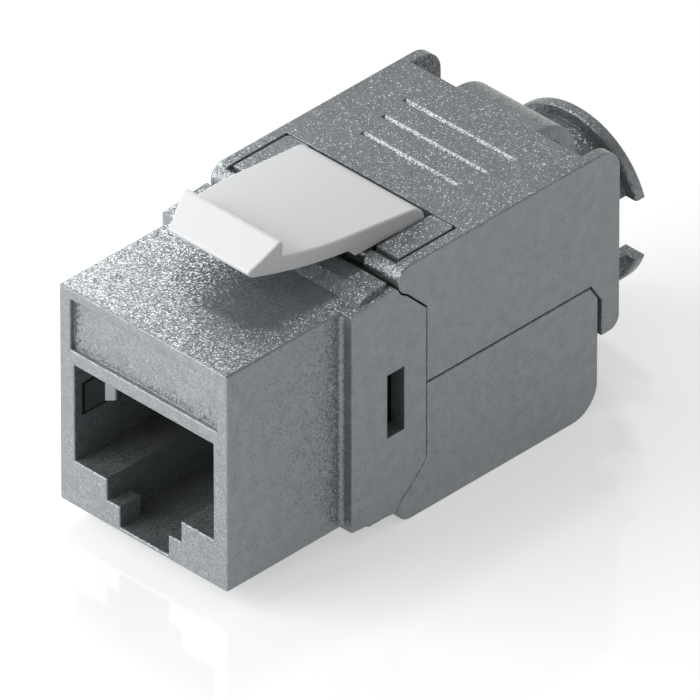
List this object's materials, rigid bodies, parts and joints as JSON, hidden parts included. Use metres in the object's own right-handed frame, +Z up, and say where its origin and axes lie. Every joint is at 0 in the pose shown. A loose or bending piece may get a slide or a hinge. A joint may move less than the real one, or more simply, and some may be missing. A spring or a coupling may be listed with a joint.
{
  "type": "keystone jack",
  "caption": "Shielded keystone data jack with a metal housing, white release latch, spring contacts and two hinged shells that close on the cable.",
  "frame": {"origin": "under the middle of the closed jack, on the surface that the lower shell rests on", "axes": "+X across the jack, to the right seen from the port; +Y from the port towards the cable; +Z up, towards the release latch"},
  "size_m": [0.0164, 0.038, 0.0221],
  "materials": {
    "cast_metal": "sand-blasted zinc die-casting, satin",
    "latch_plastic": "satin",
    "carrier_plastic": "matte",
    "board": "satin",
    "block_plastic": "matte",
    "manager_plastic": "matte",
    "spring_steel": "bright",
    "gold_contact": "gold plated",
    "blade_metal": "tin plated"
  },
  "bodies": {
    "housing": {"front_housing": "cast_metal", "lower_shell": "cast_metal", "lower_clamp": "cast_metal", "contact_carrier": "carrier_plastic", "contact_comb": "carrier_plastic", "circuit_board": "board", "wiring_block": "block_plastic", "wiring_blade_1": "blade_metal", "wiring_blade_2": "blade_metal", "wiring_blade_3": "blade_metal", "wiring_blade_4": "blade_metal", "wiring_blade_5": "blade_metal", "wiring_blade_6": "blade_metal", "wiring_blade_7": "blade_metal", "wiring_blade_8": "blade_metal", "wire_manager": "manager_plastic", "grounding_spring_left": "spring_steel", "grounding_spring_right": "spring_steel"},
    "latch": {"release_latch": "latch_plastic"},
    "upper_shell": {"upper_shell": "cast_metal", "upper_clamp": "cast_metal"},
    "contacts": {"contact_1": "gold_contact", "contact_2": "gold_contact", "contact_3": "gold_contact", "contact_4": "gold_contact", "contact_5": "gold_contact", "contact_6": "gold_contact", "contact_7": "gold_contact", "contact_8": "gold_contact"}
  },
  "joints": [
    {"name": "latch_press", "type": "hinge", "parent": "housing", "child": "latch", "pos_m": [0, -0.00028, 0.0179], "axis": [1, 0, 0], "range_deg": [0, 7.5], "stiffness_Nm_per_rad": 0.2},
    {"name": "shell_open", "type": "hinge", "parent": "housing", "child": "upper_shell", "pos_m": [0, -0.00402, 0.01785], "axis": [1, 0, 0], "range_deg": [0, 100]},
    {"name": "contact_lift", "type": "hinge", "parent": "housing", "child": "contacts", "pos_m": [0, -0.00477, 0.01275], "axis": [-1, 0, 0], "range_deg": [0, 12], "stiffness_Nm_per_rad": 0.1}
  ]
}
